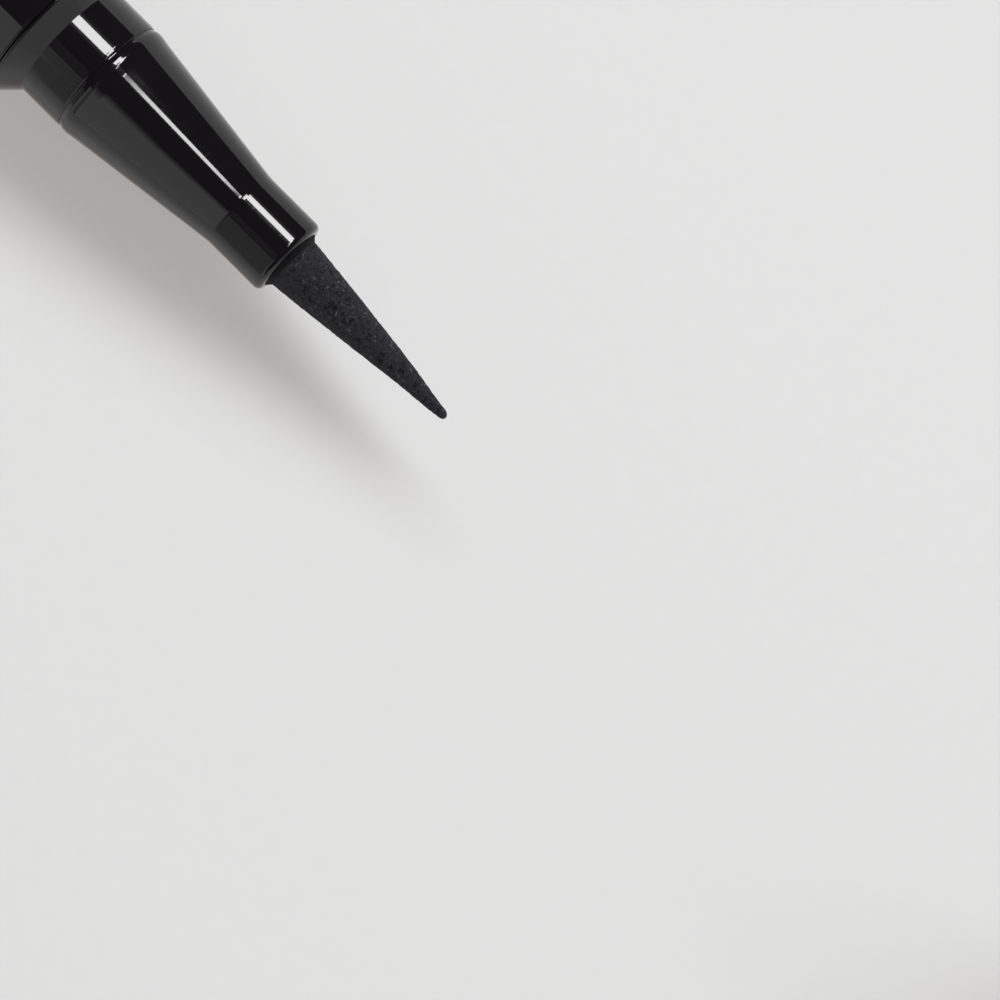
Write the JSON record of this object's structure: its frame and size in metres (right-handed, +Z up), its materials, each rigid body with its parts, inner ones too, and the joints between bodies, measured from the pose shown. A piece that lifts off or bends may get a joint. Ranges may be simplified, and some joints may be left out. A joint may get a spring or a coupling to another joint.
{
  "type": "liquid eyeliner pen",
  "caption": "Slim round black eyeliner pen with a 45 degree collar, a tapered nose and a pointed porous nib, its cap pulled off and lying in line with it.",
  "frame": {"origin": "on the table, under the middle of the whole length from the tail face to the crown of the cap that lies in line with the pen", "axes": "+X along the pen from the tail to the nib, +Z up from the table"},
  "size_m": [0.2116, 0.01, 0.01],
  "materials": {
    "gloss_black_plastic": "high gloss moulded black",
    "nib_felt": "matt porous fibre, soaked with black ink",
    "natural_plastic": "milky, slightly see-through",
    "white_plastic": "moulded white",
    "black_rubber": "matt",
    "grey_elastomer": "soft matt",
    "polished_steel": "polished",
    "spring_wire": "drawn wire",
    "ink_fibre": "bonded fibres soaked with ink"
  },
  "bodies": {
    "pen": {"barrel": "gloss_black_plastic", "tail_plug": "gloss_black_plastic", "ink_tank": "natural_plastic", "tank_plug": "white_plastic", "tank_plug_ring": "black_rubber", "tank_gasket": "black_rubber", "ink_controller": "white_plastic", "controller_seal_ring": "black_rubber", "feed_core": "ink_fibre", "collar_sleeve": "gloss_black_plastic", "nose_cone": "gloss_black_plastic", "nib_holder": "white_plastic", "nib": "nib_felt"},
    "mixing_ball": {"mixing_ball": "polished_steel"},
    "cap": {"cap_shell": "gloss_black_plastic", "cap_spring": "spring_wire", "crown_plug": "gloss_black_plastic"},
    "inner_cap": {"inner_cap": "natural_plastic", "inner_cap_seal": "grey_elastomer"}
  },
  "joints": [
    {"name": "cap_slide", "type": "slide", "parent": "pen", "child": "cap", "axis": [1, 0, 0], "range_m": [-0.0809, 0]},
    {"name": "inner_cap_slide", "type": "slide", "parent": "cap", "child": "inner_cap", "axis": [1, 0, 0], "range_m": [0, 0.001], "stiffness_N_per_m": 200, "deforming": ["cap_spring"]},
    {"name": "mixing_ball_slide", "type": "slide", "parent": "pen", "child": "mixing_ball", "axis": [1, 0, 0], "range_m": [-0.0246, 0.0105]}
  ]
}
